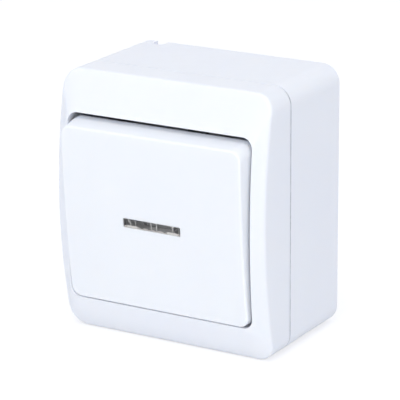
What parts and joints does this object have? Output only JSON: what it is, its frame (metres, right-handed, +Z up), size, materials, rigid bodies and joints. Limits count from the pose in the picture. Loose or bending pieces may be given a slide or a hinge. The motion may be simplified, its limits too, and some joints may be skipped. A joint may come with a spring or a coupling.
{
  "type": "surface mounted light switch",
  "caption": "Surface mounted light switch: back box, crowned front cover, rocking key with a clear indicator lens, and the contact mechanism behind it.",
  "frame": {"origin": "centre of the wall plane on the back face of the box", "axes": "+Y into the wall, -Y towards the user, +X to the user's right, +Z up"},
  "size_m": [0.066, 0.0476, 0.0754],
  "materials": {
    "box_plastic": "satin moulded",
    "cover_plastic": "satin moulded",
    "rocker_plastic": "satin moulded",
    "seal_rubber": "matt",
    "grommet_rubber": "matt",
    "base_plastic": "moulded",
    "frame_plastic": "moulded",
    "cradle_plastic": "moulded",
    "plunger_plastic": "moulded",
    "zinc_steel": "zinc plated",
    "spring_steel": "drawn",
    "terminal_brass": "stamped",
    "clamp_brass": "nickel plated",
    "lever_brass": "stamped",
    "contact_silver": "silver",
    "lamp_glass": "clear, blown",
    "lead_wire": "tinned",
    "resistor_coating": "dipped",
    "lens_clear": "clear, faceted"
  },
  "bodies": {
    "housing": {"back_box": "box_plastic", "front_cover": "cover_plastic", "housing_gasket": "seal_rubber", "cable_grommet": "grommet_rubber", "mechanism_base": "base_plastic", "mechanism_frame": "frame_plastic", "mechanism_screws": "zinc_steel", "common_terminal": "terminal_brass", "switched_terminal": "terminal_brass", "fixed_contact_rivet": "contact_silver", "common_clamp": "clamp_brass", "switched_clamp": "clamp_brass", "terminal_screws": "zinc_steel", "lamp_bridge": "frame_plastic", "neon_lamp": "lamp_glass", "lamp_lead_right": "lead_wire", "lamp_lead_left": "lead_wire", "lamp_resistor": "resistor_coating"},
    "rocker": {"rocker_key": "rocker_plastic", "indicator_lens": "lens_clear", "rocker_cradle": "cradle_plastic", "plunger_spring": "spring_steel"},
    "plunger": {"plunger_pin": "plunger_plastic"},
    "lever": {"contact_lever": "lever_brass", "moving_contact_rivet": "contact_silver"}
  },
  "joints": [
    {"name": "rocker_tilt", "type": "hinge", "parent": "housing", "child": "rocker", "pos_m": [0, -0.033, -0.0004], "axis": [-1, 0, 0], "range_deg": [0, 9.6]},
    {"name": "plunger_slide", "type": "slide", "parent": "rocker", "child": "plunger", "axis": [0, -0.9965, -0.0837], "range_m": [0, 0.0008], "stiffness_N_per_m": 400, "springref_m": -0.001, "deforming": ["plunger_spring"]},
    {"name": "contact_flip", "type": "hinge", "parent": "housing", "child": "lever", "pos_m": [0, -0.01385, -0.0004], "axis": [1, 0, 0], "range_deg": [0, 8]}
  ],
  "couplings": [
    {"joint": "contact_flip", "follows": "rocker_tilt", "ratio": 0.8333}
  ]
}
